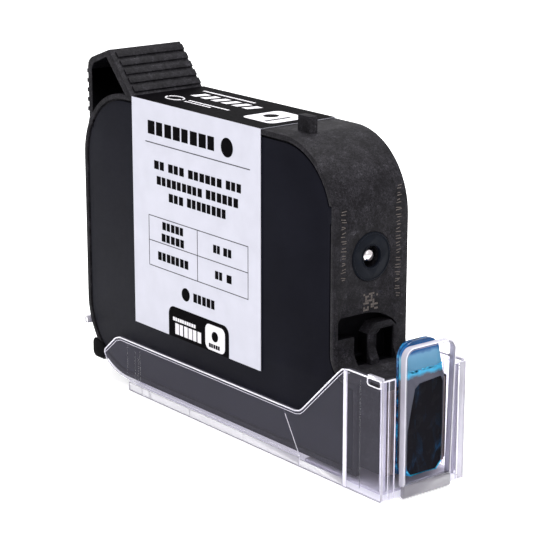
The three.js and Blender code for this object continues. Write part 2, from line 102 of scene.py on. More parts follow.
# ---- node helpers for materials ----
class Look:
    """A material's node tree, with short calls for the nodes that the finishes share."""

    def __init__(self, name):
        self.material = bpy.data.materials.new(name)
        self.material.use_nodes = True
        self.tree = self.material.node_tree
        self.shader = self.tree.nodes["Principled BSDF"]

    def node(self, kind, **values):
        made = self.tree.nodes.new(kind)
        for key, value in values.items():
            if hasattr(made, key):
                setattr(made, key, value)
            else:
                made.inputs[key].default_value = value
        return made

    def link(self, source, target):
        self.tree.links.new(source, target)

    def set(self, **values):
        for key, value in values.items():
            self.shader.inputs[key.replace("_", " ")].default_value = value

    def coords(self):
        return self.node("ShaderNodeTexCoord").outputs["Object"]

    def noise(self, scale, detail=4.0, roughness=0.5, stretch=(1, 1, 1), twist=0.0):
        mapping = self.node("ShaderNodeMapping")
        mapping.inputs["Scale"].default_value = stretch
        self.link(self.coords(), mapping.inputs["Vector"])
        noise = self.node("ShaderNodeTexNoise")
        noise.inputs["Scale"].default_value = scale
        noise.inputs["Detail"].default_value = detail
        noise.inputs["Roughness"].default_value = roughness
        noise.inputs["Distortion"].default_value = twist
        self.link(mapping.outputs["Vector"], noise.inputs["Vector"])
        return noise.outputs["Fac"]

    def ramp(self, source, stops):
        ramp = self.node("ShaderNodeValToRGB")
        elements = ramp.color_ramp.elements
        while len(elements) < len(stops):
            elements.new(0.5)
        for element, (place, colour) in zip(elements, stops):
            element.position = place
            element.color = (*colour, 1.0)
        self.link(source, ramp.inputs["Fac"])
        return ramp.outputs["Color"]

    def multiply(self, first, second):
        product = self.node("ShaderNodeMath", operation="MULTIPLY")
        self.link(first, product.inputs[0])
        self.link(second, product.inputs[1])
        return product.outputs[0]

    def spread(self, source, low, high, source_low=0.0, source_high=1.0):
        mapped = self.node("ShaderNodeMapRange")
        mapped.inputs["From Min"].default_value = source_low
        mapped.inputs["From Max"].default_value = source_high
        mapped.inputs["To Min"].default_value = low
        mapped.inputs["To Max"].default_value = high
        self.link(source, mapped.inputs["Value"])
        return mapped.outputs["Result"]

    def bump(self, source, strength, distance):
        bump = self.node("ShaderNodeBump")
        bump.inputs["Strength"].default_value = strength
        bump.inputs["Distance"].default_value = distance
        self.link(source, bump.inputs["Height"])
        self.link(bump.outputs["Normal"], self.shader.inputs["Normal"])

    def colour(self, source):
        self.link(source, self.shader.inputs["Base Color"])

    def roughness(self, source):
        self.link(source, self.shader.inputs["Roughness"])


def frame_plastic():
    """Glass-filled black moulding: fine grey fibres and clouds over near-black, with a matte grain."""
    look = Look("frame_plastic")
    look.set(Specular_IOR_Level=0.08)
    clouds = look.spread(look.noise(330, 4, 0.6), 0.35, 0.65)
    fibres = look.noise(2600, 8, 0.85, (1, 0.7, 0.7), 1.2)
    look.colour(look.ramp(look.multiply(clouds, fibres), [
        (0.17, (0.0020, 0.0018, 0.0024)),
        (0.24, (0.0072, 0.0066, 0.0083)),
        (0.30, (0.0230, 0.0215, 0.0261)),
        (0.38, (0.0950, 0.0900, 0.1045)),
    ]))
    look.roughness(look.spread(look.noise(1100, 3), 0.50, 0.74))
    look.bump(look.noise(2600, 4, 0.6), 0.45, 0.00006)
    return look.material


def cover_steel():
    """Satin black coated steel."""
    look = Look("cover_coat")
    look.set(Specular_IOR_Level=0.035)
    look.colour(look.ramp(look.noise(45, 4, 0.6), [
        (0.3, (0.0030, 0.0030, 0.0060)),
        (0.7, (0.0060, 0.0062, 0.0110)),
    ]))
    look.roughness(look.spread(look.noise(1400, 3), 0.46, 0.56))
    look.bump(look.noise(3200, 3), 0.10, 0.00003)
    return look.material


def label_film():
    look = Look("label_film")
    look.set(Specular_IOR_Level=0.3)
    look.colour(look.ramp(look.noise(220, 3), [
        (0.3, (0.490, 0.490, 0.560)),
        (0.7, (0.525, 0.525, 0.600)),
    ]))
    look.roughness(look.spread(look.noise(700, 2), 0.40, 0.50))
    look.bump(look.noise(2400, 3), 0.05, 0.00002)
    return look.material


def bright_steel():
    look = Look("bright_steel")
    look.set(Metallic=1.0)
    look.colour(look.ramp(look.noise(500, 3), [
        (0.3, (0.58, 0.59, 0.61)),
        (0.7, (0.74, 0.75, 0.77)),
    ]))
    look.roughness(look.spread(look.noise(1500, 3), 0.12, 0.26))
    return look.material


def ball_painted_reflection():
    """A polished ball with painted reflection across it: bright at its upper near side, dark lower down
    where it would mirror the bore round its seat.
    """
    look = Look("ball_painted_reflection")
    look.set(Metallic=1.0)
    place = look.node("ShaderNodeSeparateXYZ")
    look.link(look.coords(), place.inputs["Vector"])
    slope = look.node("ShaderNodeMath", operation="SUBTRACT")
    look.link(place.outputs["Z"], slope.inputs[0])
    look.link(place.outputs["Y"], slope.inputs[1])
    ball_lo, ball_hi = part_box("fill_port_ball")
    centre = (ball_lo + ball_hi) / 2
    level, radius = centre.z - centre.y, (ball_hi.z - ball_lo.z) / 2
    across = look.spread(slope.outputs[0], 0.0, 1.0, level - radius, level + radius)
    # The bands are painted reflection: pale where the ball would mirror the white surroundings, near-black
    # where it would mirror the dark bore.
    look.colour(look.ramp(across, [
        (0.18, (0.30, 0.26, 0.27)),
        (0.34, (0.012, 0.011, 0.014)),
        (0.46, (0.05, 0.045, 0.05)),
        (0.56, (0.72, 0.66, 0.68)),
        (0.86, (0.80, 0.75, 0.77)),
        (0.96, (0.10, 0.09, 0.10)),
    ]))
    look.roughness(look.spread(look.noise(1500, 3), 0.05, 0.10))
    return look.material


def plain(name, dark, light, low, high, scale=400, specular=0.5, metallic=0.0):
    """A moulded, coated or printed finish with a slight variation in colour and gloss."""
    look = Look(name)
    look.set(Specular_IOR_Level=specular, Metallic=metallic)
    look.colour(look.ramp(look.noise(scale, 3), [(0.3, dark), (0.7, light)]))
    look.roughness(look.spread(look.noise(scale * 2.5, 2), low, high))
    return look.material


def clear_plastic(name, dark, light, rough, clear=1.0, index=1.45, painted_glow=0.0):
    """Clear moulded styrene with faint flow lines, less clear where the clear share is lower. Painted glow
    is a faint lilac emission that stands in for the pale veil of reflected light over a wide clear wall."""
    look = Look(name)
    look.set(Transmission_Weight=clear, IOR=index)
    look.set(Emission_Color=(0.86, 0.84, 1.0, 1.0), Emission_Strength=painted_glow)
    look.colour(look.ramp(look.noise(60, 3, 0.6, (0.25, 1, 1)), [(0.3, dark), (0.7, light)]))
    look.roughness(look.spread(look.noise(300, 2, stretch=(0.3, 1, 1)), *rough))
    look.bump(look.noise(90, 2, 0.4, (0.3, 1, 1)), 0.02, 0.0001)
    return look.material


def pad_rubber():
    """Translucent blue elastomer: deep blue at the tip, paler below it, and dark where ink has soaked in."""
    look = Look("pad_rubber")
    look.set(Transmission_Weight=0.25, IOR=1.41)
    # The heights, in metres, that the bands run between, and how far the swirl shifts them.
    foot, tip, wave = 0.0035, 0.0328, 0.0016
    height = look.node("ShaderNodeSeparateXYZ")
    look.link(look.coords(), height.inputs["Vector"])
    swirl = look.noise(420, 4, 0.6)
    level = look.node("ShaderNodeMath", operation="MULTIPLY_ADD")
    look.link(swirl, level.inputs[0])
    level.inputs[1].default_value = wave
    look.link(height.outputs["Z"], level.inputs[2])
    bands = look.spread(level.outputs[0], 0.0, 1.0, foot, tip)
    look.colour(look.ramp(bands, [
        (0.00, (0.02, 0.40, 0.70)),
        (0.07, (0.01, 0.20, 0.42)),
        (0.12, (0.045, 0.050, 0.065)),
        (0.73, (0.090, 0.095, 0.115)),
        (0.76, (0.04, 0.60, 0.88)),
        (0.79, (0.09, 0.34, 0.48)),
        (0.89, (0.17, 0.46, 0.62)),
        (0.92, (0.003, 0.11, 0.34)),
        (0.97, (0.002, 0.08, 0.26)),
        (1.00, (0.001, 0.03, 0.10)),
    ]))
    look.roughness(look.spread(look.noise(700, 3), 0.10, 0.3))
    look.bump(look.noise(900, 3), 0.25, 0.0001)
    return look.material


def pad_edge():
    """The pad's thick rim, where the blue is deep and ink has crept in."""
    look = Look("pad_edge")
    look.set(IOR=1.41)
    look.colour(look.ramp(look.noise(360, 4, 0.7), [
        (0.40, (0.001, 0.006, 0.020)),
        (0.52, (0.002, 0.060, 0.180)),
        (0.66, (0.010, 0.260, 0.520)),
    ]))
    look.roughness(look.spread(look.noise(700, 3), 0.10, 0.3))
    look.bump(look.noise(700, 3), 0.3, 0.0001)
    return look.material


def wet_patch():
    """Where the pad is pressed against the nozzle face: ink-dark, with blue showing in streaks."""
    look = Look("wet_patch")
    look.set(Specular_IOR_Level=0.02)
    look.colour(look.ramp(look.noise(230, 4, 0.7, (1, 1.6, 0.6), 0.8), [
        (0.54, (0.0020, 0.0018, 0.0026)),
        (0.64, (0.0030, 0.0100, 0.0200)),
        (0.76, (0.0050, 0.0500, 0.1100)),
    ]))
    look.roughness(look.spread(look.noise(500, 2), 0.18, 0.34))
    return look.material


FRAME_LOOK = frame_plastic()
COVER_LOOK = cover_steel()
STEEL_LOOK = bright_steel()
BLACK_INK = plain("black_ink", (0.0008, 0.0006, 0.0010), (0.0020, 0.0016, 0.0024), 0.45, 0.6, 500, 0.01)
WHITE_INK = plain("white_ink", (0.66, 0.64, 0.68), (0.72, 0.70, 0.74), 0.4, 0.5, 500, 0.3)
RULE_INK = plain("rule_ink", (0.050, 0.050, 0.060), (0.075, 0.075, 0.085), 0.4, 0.5, 500, 0.05)
ETCH_LOOK = plain("etched_mark", (0.055, 0.046, 0.042), (0.115, 0.098, 0.090), 0.6, 0.8, 1600, 0.2)
GOLD_LOOK = plain("contact_gold", (0.78, 0.52, 0.20), (0.92, 0.66, 0.30), 0.16, 0.3, 700, 0.5, 1.0)
PORT_LOOK = plain("port_plastic", (0.003, 0.0040, 0.007), (0.005, 0.0065, 0.011), 0.36, 0.5, 300, 0.06)
# Near-black, darker than the frame: on the recess stiffeners and the recess and handle sheets it is painted
# shade.
DARK_LOOK = plain("dark_moulding_and_painted_shade", (0.0012, 0.0012, 0.0018), (0.0030, 0.0028, 0.0036), 0.5, 0.7, 700, 0.02)
INNER_LOOK = plain("inner_moulding", (0.30, 0.31, 0.32), (0.40, 0.41, 0.42), 0.4, 0.6)
FILM_LOOK = plain("ink_film", (0.50, 0.52, 0.55), (0.62, 0.64, 0.67), 0.2, 0.35)
BEAD_LOOK = plain("encapsulant", (0.01, 0.01, 0.01), (0.02, 0.02, 0.02), 0.3, 0.5)

# The wide clear walls pass light straight through, with an index of 1, and carry a faint painted glow for
# the veil of reflected light over them.
POLISHED = (0.002, 0.012)
CLEAR_LOOK = clear_plastic("clear_wall", (0.68, 0.67, 0.73), (0.80, 0.79, 0.85), POLISHED, 1.0, 1.0, 0.034)
FLAP_LOOK = clear_plastic("clear_flap", (0.80, 0.79, 0.85), (0.86, 0.85, 0.91), POLISHED, 1.0, 1.0, 0.004)
BORDER_LOOK = clear_plastic("clear_border", (0.50, 0.485, 0.55), (0.74, 0.72, 0.80), (0.10, 0.2), 0.45, 1.3)
FOOT_LOOK = clear_plastic("clear_foot", (0.13, 0.125, 0.145), (0.22, 0.21, 0.24), (0.10, 0.2), 0.1, 1.35)
BAND_LOOK = clear_plastic("clear_band", (0.30, 0.29, 0.33), (0.52, 0.50, 0.57), (0.10, 0.2), 0.35, 1.35)
SHADE_LOOK = clear_plastic("clear_shade", (0.16, 0.155, 0.18), (0.30, 0.29, 0.33), (0.1, 0.2), 0.2, 1.3)
FAINT_LOOK = clear_plastic("clear_faint", (0.38, 0.38, 0.42), (0.50, 0.50, 0.55), (0.2, 0.3), 0.93, 1.12)
# Painted highlight: a bright, milky clear finish for the edge beads on the cap and the flap, and for the
# cap's ribs.
HIGHLIGHT_LOOK = clear_plastic("clear_painted_highlight", (0.72, 0.70, 0.77), (0.86, 0.84, 0.92), (0.10, 0.22), 0.35)
# Painted light: a pale half-clear finish that stands in for light coming up through the clear floor.
PAINTED_LIGHT_LOOK = clear_plastic("clear_painted_light", (0.66, 0.64, 0.71), (0.84, 0.82, 0.90), (0.15, 0.3), 0.25)

NODE_LOOKS = {
    "body_frame": FRAME_LOOK,
    "side_cover_near": COVER_LOOK,
    "side_cover_far": COVER_LOOK,
    "label": label_film(),
    "inner_frame": INNER_LOOK,
    "filter_carrier": INNER_LOOK,
    "ink_film_near": FILM_LOOK,
    "ink_film_far": FILM_LOOK,
    "pressure_plate_near": STEEL_LOOK,
    "pressure_plate_far": STEEL_LOOK,
    "bow_spring": STEEL_LOOK,
    "filter_screen_near": STEEL_LOOK,
    "filter_screen_far": STEEL_LOOK,
    "fill_port_ball": ball_painted_reflection(),
    "orifice_plate": STEEL_LOOK,
    "fill_port_ring": PORT_LOOK,
    "flex_circuit": plain("flex_film", (0.10, 0.070, 0.064), (0.20, 0.150, 0.138), 0.28, 0.4, 260),
    "printhead_die": plain("silicon", (0.05, 0.05, 0.06), (0.08, 0.08, 0.10), 0.1, 0.2, 900),
    "encapsulant_lower": BEAD_LOOK,
    "encapsulant_upper": BEAD_LOOK,
    "cap_shell": CLEAR_LOOK,
    "seal_flap": CLEAR_LOOK,
    "seal_pad": pad_rubber(),
}
# The width of the rounded edge on each node that shows one, in millimetres.
EDGE_ROUNDING = {
    "body_frame": 0.22,
    "side_cover_near": 0.16,
    "side_cover_far": 0.16,
    "fill_port_ring": 0.18,
    "cap_shell": 0.16,
    "seal_flap": 0.3,
    "seal_pad": 0.25,
    "printhead_die": 0.08,
    "filter_carrier": 0.15,
}


def smooth_by_angle():
    """A modifier tree that shades curved faces smooth and keeps edges over 33 degrees sharp."""
    tree = bpy.data.node_groups.new("smooth_by_angle", "GeometryNodeTree")
    tree.interface.new_socket("Geometry", in_out="INPUT", socket_type="NodeSocketGeometry")
    tree.interface.new_socket("Geometry", in_out="OUTPUT", socket_type="NodeSocketGeometry")
    start = tree.nodes.new("NodeGroupInput")
    end = tree.nodes.new("NodeGroupOutput")
    faces = tree.nodes.new("GeometryNodeSetShadeSmooth")
    edges = tree.nodes.new("GeometryNodeSetShadeSmooth")
    faces.domain, edges.domain = "FACE", "EDGE"
    angle = tree.nodes.new("GeometryNodeInputMeshEdgeAngle")
    sharp = tree.nodes.new("FunctionNodeCompare")
    sharp.data_type, sharp.operation = "FLOAT", "GREATER_THAN"
    sharp.inputs["B"].default_value = math.radians(33)
    tree.links.new(start.outputs[0], faces.inputs["Geometry"])
    tree.links.new(faces.outputs[0], edges.inputs["Geometry"])
    tree.links.new(angle.outputs["Unsigned Angle"], sharp.inputs["A"])
    tree.links.new(sharp.outputs["Result"], edges.inputs["Selection"])
    edges.inputs["Shade Smooth"].default_value = False
    tree.links.new(edges.outputs[0], end.inputs[0])
    return tree


SMOOTH_TREE = smooth_by_angle()
# Vertices nearer than this, in metres, are one vertex.
WELD_GAP = 0.000002


def finish_edges(obj, rounding):
    """Rounds an object's sharp edges by that many millimetres, and shades its curves smooth."""
    weld = obj.modifiers.new("weld", "WELD")
    weld.merge_threshold = WELD_GAP
    flat = obj.modifiers.new("flat", "DECIMATE")
    flat.decimate_type, flat.angle_limit = "DISSOLVE", math.radians(0.5)
    if rounding:
        bevel = obj.modifiers.new("edges", "BEVEL")
        bevel.width, bevel.segments = rounding * MM, 2
        bevel.limit_method, bevel.angle_limit = "ANGLE", math.radians(34)
    smooth = obj.modifiers.new("smooth", "NODES")
    smooth.node_group = SMOOTH_TREE


for name, material in NODE_LOOKS.items():
    node = nodes[name]
    node.data.materials.clear()
    node.data.materials.append(material)
    if name == "fill_port_ball":
        node.modifiers.new("weld", "WELD").merge_threshold = WELD_GAP
        node.modifiers.new("rounder", "SUBSURF").render_levels = 2
        node.modifiers.new("smooth", "NODES").node_group = SMOOTH_TREE
    else:
        finish_edges(node, EDGE_ROUNDING.get(name, 0))


# ---- mesh helpers ----
class Shape:
    """Vertices and faces of one piece, in millimetres off the datum."""

    def __init__(self):
        self.verts = []
        self.faces = []

    def prism(self, outline, axis, low, high):
        """An outline drawn across one axis, with thickness along it."""
        first, count = len(self.verts), len(outline)
        for depth in (low, high):
            for a, b in outline:
                self.verts.append({"x": (depth, a, b), "y": (a, depth, b), "z": (a, b, depth)}[axis])
        bottom = [first + i for i in range(count)]
        top = [first + count + i for i in range(count)]
        self.faces.append(list(reversed(bottom)))
        self.faces.append(top)
        for i in range(count):
            j = (i + 1) % count
            self.faces.append([bottom[i], bottom[j], top[j], top[i]])
        return self

    def ring(self, outer, inner, axis, low, high):
        """The band between two outlines that have as many points each, with thickness along one axis."""
        first, count = len(self.verts), len(outer)
        for depth in (low, high):
            for a, b in outer + inner:
                self.verts.append({"x": (depth, a, b), "y": (a, depth, b), "z": (a, b, depth)}[axis])
        for i in range(count):
            j = (i + 1) % count
            around = [
                (i, count + i, count + j, j),
                (2 * count + i, 2 * count + j, 3 * count + j, 3 * count + i),
                (i, j, 2 * count + j, 2 * count + i),
                (count + i, 3 * count + i, 3 * count + j, count + j),
            ]
            self.faces += [[first + k for k in face] for face in around]
        return self

    def tube(self, path, radius, closed=False, sides=8):
        """A round bead along a path, mitred at its corners."""
        points = [Vector(p) for p in path]
        count = len(points)
        first = len(self.verts)
        up = Vector((0.0, 1.0, 0.0))
        for i, point in enumerate(points):
            before = points[i - 1] if closed or i else point
            after = points[(i + 1) % count] if closed or i < count - 1 else point
            step_in, step_out = point - before, after - point
            way_in = (step_in if step_in.length else step_out).normalized()
            way_out = step_out.normalized() if step_out.length else way_in
            along = (way_in + way_out).normalized()
            side = along.cross(up)
            if side.length < 0.2:
                side = along.cross(Vector((1.0, 0.0, 0.0)))
            side.normalize()
            lift = side.cross(along)
            widen = min(2.0, 1.0 / max(0.3, along.dot(way_in)))
            for k in range(sides):
                turn = 2 * math.pi * (k + 0.5) / sides
                spoke = side * math.cos(turn) * widen + lift * math.sin(turn)
                self.verts.append(tuple(point + spoke * radius))
        rings = count if closed else count - 1
        for i in range(rings):
            here, there = first + i * sides, first + ((i + 1) % count) * sides
            for k in range(sides):
                m = (k + 1) % sides
                self.faces.append([here + k, here + m, there + m, there + k])
        if not closed:
            self.faces.append([first + k for k in reversed(range(sides))])
            self.faces.append([first + (count - 1) * sides + k for k in range(sides)])
        return self

    def build(self, name, material, body, rounding=0.0):
        mesh = bpy.data.meshes.new(name)
        mesh.from_pydata([tuple(at(*v)) for v in self.verts], [], self.faces)
        mesh.validate()
        piece = bpy.data.objects.new(name, mesh)
        bpy.context.scene.collection.objects.link(piece)
        mesh.materials.append(material)
        finish_edges(piece, rounding)
        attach(piece, body)
        return piece


def rounded(a0, a1, b0, b1, radius, steps=5):
    """A rectangle's outline with round corners."""
    outline = []
    corners = [(a1 - radius, b0 + radius, -90), (a1 - radius, b1 - radius, 0),
               (a0 + radius, b1 - radius, 90), (a0 + radius, b0 + radius, 180)]
    for ca, cb, start in corners:
        for i in range(steps + 1):
            turn = math.radians(start + 90 * i / steps)
            outline.append((ca + radius * math.cos(turn), cb + radius * math.sin(turn)))
    return outline


def oval(a, b, ra, rb, steps=28):
    turns = [2 * math.pi * i / steps for i in range(steps)]
    return [(a + ra * math.cos(t), b + rb * math.sin(t)) for t in turns]


def rect(a0, a1, b0, b1):
    return [(a0, b0), (a1, b0), (a1, b1), (a0, b1)]


# ---- label print ----
# The label's outer faces: its front, a skin over the body's half thickness, and its top.
FRONT = -9.8 - LABEL_SKIN
TOP = LABEL_SKIN


def front_print(shape, outline, level=1):
    """An outline printed on the label's front: each level of ink lies over the one before."""
    shape.prism(outline, "y", FRONT - 0.03 * level, FRONT + 0.02)


def top_print(shape, outline, level=1):
    shape.prism(outline, "z", TOP - 0.02, TOP + 0.03 * level)


def word(put, shape, a0, a1, b0, b1, count, level=1, across=False):
    """A row of plain blocks that stands in for a printed word."""
    pitch = (a1 - a0) / count
    for i in range(count):
        a = a0 + (i + 0.04) * pitch
        block = rect(a, a + pitch * (0.82, 0.74, 0.80)[i % 3], b0, b1)
        put(shape, [(q, p) for p, q in block] if across else block, level)


def label_front():
    black = Shape()
    word(front_print, black, 6.0, 31.2, -7.2, -4.2, 8)
    front_print(black, oval(35.0, -5.7, 2.1, 2.1))
    for a0, a1, b0, b1, count in [
        (8.3, 12.5, -14.8, -12.9, 2), (13.6, 19.8, -14.8, -12.9, 3), (21.0, 33.4, -14.8, -12.9, 6),
        (34.5, 40.1, -14.7, -12.8, 3), (9.2, 26.3, -18.2, -16.3, 9), (27.4, 39.1, -18.1, -16.1, 6),
        (13.7, 19.4, -21.4, -19.5, 3), (20.5, 34.8, -21.3, -19.3, 8), (11.1, 19.3, -28.2, -26.4, 5),
        (10.8, 19.6, -30.9, -29.1, 5), (9.3, 21.0, -35.4, -33.5, 7), (29.9, 32.6, -29.5, -27.7, 2),
        (33.5, 36.7, -29.5, -27.7, 2), (30.5, 33.4, -35.2, -33.4, 2), (34.6, 36.7, -35.2, -33.4, 1),
        (22.5, 30.6, -42.3, -40.3, 5),
    ]:
        word(front_print, black, a0, a1, b0, b1, count)
    front_print(black, oval(19.7, -41.3, 1.5, 1.5))
    front_print(black, block_outline())
    front_print(black, oval(30.4, -48.4, 1.15, 1.15), 3)
    word(front_print, black, 28.2, 32.3, -51.1, -50.2, 5, 3)
    black.build("label_ink_front", BLACK_INK, "cartridge")

    white = Shape()
    front_print(white, rounded(26.9, 34.0, -51.7, -45.9, 1.4), 2)
    word(front_print, white, 15.6, 25.6, -51.2, -48.7, 6, 2)
    word(front_print, white, 14.8, 23.4, -48.2, -47.4, 10, 2)
    white.build("label_print_front", WHITE_INK, "cartridge")

    rules = Shape()
    front_print(rules, rect(5.1, 42.9, -9.2, -8.98))
    for z in (-25.7, -31.4, -37.2):
        front_print(rules, rect(6.0, 42.25, z - 0.09, z + 0.09))
    for x in (6.0, 24.2, 42.15):
        front_print(rules, rect(x - 0.09, x + 0.09, -37.2, -25.7))
    rules.build("label_rules", RULE_INK, "cartridge")


def block_outline():
    """The black block at the label's foot: round at the top, cut off square by the label's edge."""
    arcs = rounded(13.2, 35.4, -54.0, -45.0, 1.9)
    return [(a, b) for a, b in arcs if b > -50] + [(13.2, -52.0), (35.4, -52.0)]


def label_top():
    black = Shape()
    top_print(black, rect(0.0, 46.4, -9.97, 9.97))
    top_print(black, oval(37.3, 0.0, 1.7, 1.7), 3)
    word(top_print, black, -4.6, 2.2, 40.6, 41.6, 8, 3, across=True)
    black.build("label_ink_top", BLACK_INK, "cartridge")

    white = Shape()
    top_print(white, rounded(33.8, 44.0, -5.4, 5.0, 1.6), 2)
    slant = 0.9
    for i in range(6):
        a = 7.4 + i * 3.75
        top_print(white, [(a, 0.7), (a + 2.1, 0.7), (a + 2.1 + slant, 4.3), (a + slant, 4.3)], 2)
    word(top_print, white, 5.0, 24.0, 5.9, 6.6, 18, 2)
    word(top_print, white, 12.4, 27.0, -3.5, -2.9, 14, 2)
    word(top_print, white, 12.4, 22.0, -4.7, -4.2, 9, 2)
    ring = Shape()
    ring.tube([(x, y, TOP + 0.05) for x, y in oval(8.2, -4.0, 2.7, 1.7, 32)], 0.16, closed=True)
    ring.build("label_ring_top", WHITE_INK, "cartridge")
    white.build("label_print_top", WHITE_INK, "cartridge")


# ---- details on the cartridge ----
# The outer face of the end wall.
END = 69.9


def end_marks():
    """Rows of slanted dashes and a speckled patch, where the end wall carries etched marks."""
    marks = Shape()
    chance = random.Random(7)
    for y0, y1, top, foot in [(-8.1, -6.6, -13.2, -28.2), (6.4, 8.0, -9.8, -33.4)]:
        z = top
        while z > foot:
            for part in range(2):
                low = z - 0.55 * part
                a = y0 + 0.5 * chance.random()
                b = y1 - 0.5 * chance.random()
                tilt = 0.5 * (chance.random() - 0.5)
                dash = [(a, low), (b, low + tilt), (b, low + tilt - 0.17), (a, low - 0.17)]
                marks.prism(dash, "x", END - 0.02, END + 0.015)
            z -= 1.5
    for row in range(8):
        for column in range(8):
            if chance.random() < 0.62:
                y, z = -1.95 + column * 0.49, -34.8 + row * 0.46
                marks.prism(rect(y, y + 0.44, z, z + 0.4), "x", END - 0.02, END + 0.015)
    marks.build("end_wall_marks", ETCH_LOOK, "cartridge")


def recess_details():
    """Stiffeners inside the end-wall recess, thin near-black sheets of painted shade on the unlit faces
    round them, and the keyhole's lip.
    """
    ribs = Shape()
    for y in (-7.4, -3.4):
        ribs.prism(rect(y, y + 0.5, -46.0, -40.2), "x", 67.0, 68.4)
    ribs.prism(rect(-4.2, -0.8, -44.6, -44.1), "x", 67.0, 68.6)
    ribs.build("recess_stiffeners", DARK_LOOK, "cartridge", 0.12)

    # Painted shade: thin near-black sheets laid on the recess's faces, darker than the frame.
    dark = Shape()
    skin = 0.04
    dark.prism(rect(-8.5, 6.9, -46.15, -35.4), "x", 66.9, 66.9 + skin)
    dark.prism(rect(1.7, 6.1, -46.15, -40.4), "x", 67.2, 67.2 + skin)
    dark.prism(rect(67.0, 69.6, -39.75, -36.4), "y", -8.6, -8.6 + skin)
    dark.prism(rect(67.0, 69.6, -46.15, -39.9), "y", -0.6 - skin, -0.6)
    dark.prism(rect(67.25, 69.6, -46.15, -39.4), "y", 6.2 - skin, 6.2)
    dark.prism(rect(67.0, 69.6, -4.25, -0.65), "z", -46.2, -46.2 + skin)
    dark.prism(rect(67.25, 69.6, 1.65, 6.15), "z", -46.2, -46.2 + skin)
    dark.prism(rect(67.0, 69.6, -8.5, -4.35), "z", -39.8, -39.8 + skin)
    dark.build("recess_painted_shade", DARK_LOOK, "cartridge")

    keyhole = [(1.5, -46.0), (1.5, -40.2), (2.6, -39.15), (6.3, -39.15), (6.3, -46.0)]
    rim = Shape()
    rim.tube([(END + 0.02, y, z) for y, z in keyhole], 0.12)
    rim.build("keyhole_rim", FRAME_LOOK, "cartridge")


def handle_details():
    """Painted shade: thin near-black sheets on the unlit inner faces of the handle's loop."""
    half = 9.7
    under = [(-16.2, 4.2), (-16.15, 4.1), (-15.35, 5.5), (-10.1, 7.6), (-10.1, 7.68), (-15.4, 5.6)]
    dark = Shape()
    dark.prism(rect(-half, half, -9.5, 4.1), "x", -16.2, -16.15)
    dark.prism(under, "y", -half, half)
    dark.build("handle_painted_shade", DARK_LOOK, "cartridge")


def catch_lumps():
    """The worn lumps over the rear catches."""
    lumps = Shape()
    outer = [
        (-18.3, -61.2), (-17.5, -60.15), (-15.6, -60.25), (-13.1, -61.2), (-12.55, -63.0), (-13.6, -64.4),
        (-15.4, -64.85), (-17.4, -64.6), (-18.35, -63.3),
    ]
    middle = (-15.5, -62.5)
    for side in (-1, 1):
        first = len(lumps.verts)
        for share, depth in [(1.0, 9.78), (0.86, 9.98), (0.45, 10.02)]:
            for i, (x, z) in enumerate(outer):
                wobble = 0.12 * ((i * 5) % 3 - 1) if share < 1.0 else 0.0
                across = middle[0] + (x - middle[0]) * share
                height = middle[1] + (z - middle[1]) * share + wobble
                lumps.verts.append((across, side * (depth + wobble * 0.5), height))
        count = len(outer)
        for ring in range(2):
            for i in range(count):
                j = (i + 1) % count
                low, high = first + ring * count, first + (ring + 1) * count
                face = [low + i, low + j, high + j, high + i]
                lumps.faces.append(face if side > 0 else face[::-1])
        cap = [first + 2 * count + i for i in range(count)]
        base = [first + i for i in range(count)]
        lumps.faces.append(cap if side > 0 else cap[::-1])
        lumps.faces.append(base[::-1] if side > 0 else base)
    lumps.build("catch_lumps", DARK_LOOK, "cartridge", 0.05)


def port_details():
    """The turned lips of the fill port, one round its hole and one just inside its rim."""
    face, centre_y, centre_z = 70.02, 0.05, -23.6
    lip = Shape()
    for radius, bead, steps in [(2.45, 0.14, 40), (4.75, 0.10, 48)]:
        circle = oval(centre_y, centre_z, radius, radius, steps)
        lip.tube([(face, y, z) for y, z in circle], bead, closed=True)
    lip.build("fill_port_lip", PORT_LOOK, "cartridge")


def contact_pads():
    """Gold lands on the underside of the flex tail, and the copper runs down the snout's face."""
    lands = Shape()
    for row in range(4):
        for column in range(9):
            x, y = 47.0 + column * 2.6, -6.4 + row * 4.0
            lands.prism(rounded(x, x + 1.7, y, y + 1.5, 0.35, 3), "z", -64.64, -64.6)
    lands.build("contact_lands", GOLD_LOOK, "cartridge")
    runs = Shape()
    for i in range(9):
        y = 3.1 + i * 0.5
        for side in (-1, 1):
            runs.prism(rect(side * y - 0.11, side * y + 0.11, -64.2, -47.4), "x", 84.18, 84.215)
    copper = plain("copper", (0.050, 0.026, 0.022), (0.09, 0.05, 0.04), 0.3, 0.4, 900)
    runs.build("flex_runs", copper, "cartridge")


def nozzle_rows():
    """Two rows of nozzle holes, drawn as dark dots on the orifice plate."""
    rows = Shape()
    for y in (-1.3, 1.3):
        for i in range(40):
            z = -61.4 + i * 0.3
            rows.prism(rounded(y - 0.05, y + 0.05, z - 0.05, z + 0.05, 0.04, 2), "x", 84.705, 84.716)
    rows.build("nozzle_rows", BEAD_LOOK, "cartridge")


def supply_spring():
    """The bow spring between the pressure plates, in its resting shape; the real one flattens as they close
    on it.
    """
    leaves = Shape()
    leaves.ring(oval(24, 0, 24, 3.8, 48), oval(24, 0, 23.55, 3.5, 48), "z", -40, -26)
    piece = leaves.build("bow_spring_leaves", STEEL_LOOK, "cartridge")
    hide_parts("bow_spring")
    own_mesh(piece)


# ---- the cap ----
# The outer faces of the two arms and of the box at their front, from the mid-plane.
ARM_Y = 10.95
BOX_Y = 11.2
# The height of the box's top edge, and the heights, just above the floor, where lines and bands end.
BOX_TOP = -43.7
LINE_FOOT = -68.6
BAND_FOOT = -68.5


